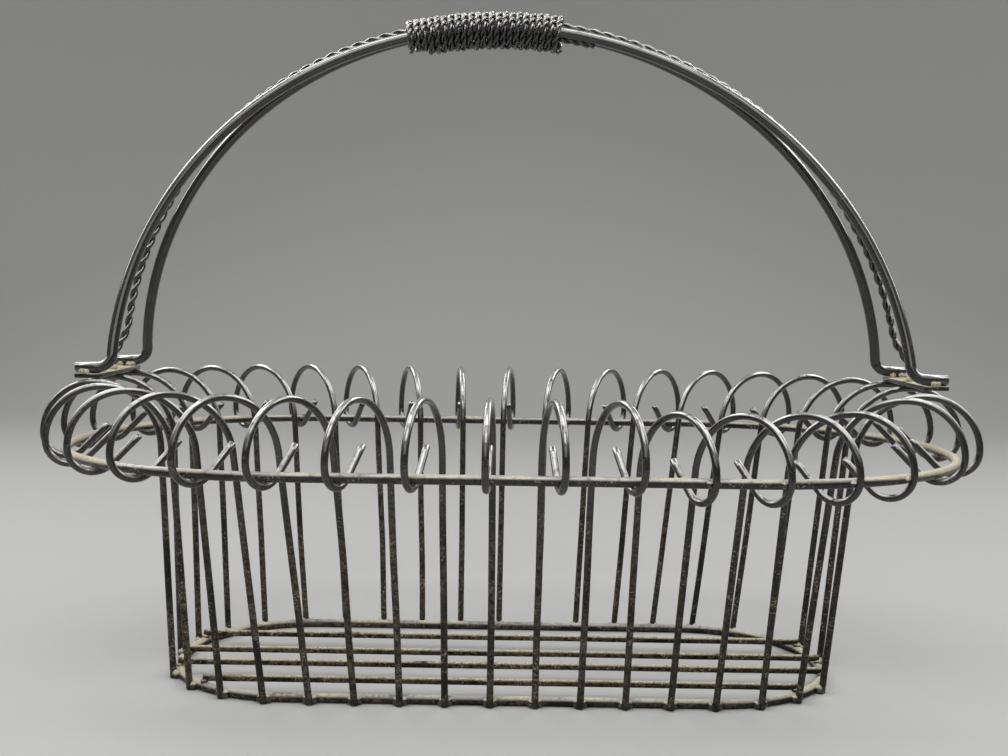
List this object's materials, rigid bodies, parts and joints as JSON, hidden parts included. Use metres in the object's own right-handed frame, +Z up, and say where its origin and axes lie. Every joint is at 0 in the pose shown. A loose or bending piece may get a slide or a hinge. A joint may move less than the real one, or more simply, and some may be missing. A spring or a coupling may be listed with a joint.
{
  "type": "iron wire basket",
  "caption": "Open oval basket of black iron wire with scrolled uprights, a flared rim and a fixed arch handle with a wire-wound grip.",
  "frame": {"origin": "middle of the basket's footprint at the level of the table, under the flat underside of the base ring", "axes": "+X along the basket's length, +Y across it away from the viewer's side, +Z up through the handle's top"},
  "size_m": [0.5257, 0.3118, 0.377],
  "materials": {
    "base_ring": "black paint over iron, dusty, semi-matt",
    "floor_wires": "black paint over iron, dusty and rough",
    "rim_ring": "black paint over iron, dust on top",
    "uprights": "gloss black paint over iron, worn and dusty",
    "plates": "black paint over iron, dusty",
    "handle_rods": "gloss black paint over iron",
    "twisted_wire": "gloss black paint over iron",
    "winding": "gloss black paint over iron"
  },
  "bodies": {
    "root": {"base_ring": "base_ring", "floor_wire_1": "floor_wires", "floor_wire_2": "floor_wires", "floor_wire_3": "floor_wires", "floor_wire_4": "floor_wires", "rim_ring": "rim_ring", "upright_01": "uprights", "upright_02": "uprights", "upright_03": "uprights", "upright_04": "uprights", "upright_05": "uprights", "upright_06": "uprights", "upright_07": "uprights", "upright_08": "uprights", "upright_09": "uprights", "upright_10": "uprights", "upright_11": "uprights", "upright_12": "uprights", "upright_13": "uprights", "upright_14": "uprights", "upright_15": "uprights", "upright_16": "uprights", "upright_17": "uprights", "upright_18": "uprights", "upright_19": "uprights", "upright_20": "uprights", "upright_21": "uprights", "upright_22": "uprights", "upright_23": "uprights", "upright_24": "uprights", "upright_25": "uprights", "upright_26": "uprights", "upright_27": "uprights", "upright_28": "uprights", "upright_29": "uprights", "upright_30": "uprights", "upright_31": "uprights", "upright_32": "uprights", "upright_33": "uprights", "upright_34": "uprights", "upright_35": "uprights", "upright_36": "uprights", "plate_right": "plates", "plate_left": "plates", "handle_rod_front": "handle_rods", "handle_rod_rear": "handle_rods", "handle_twisted_wire": "twisted_wire", "grip_winding": "winding"}
  },
  "joints": []
}
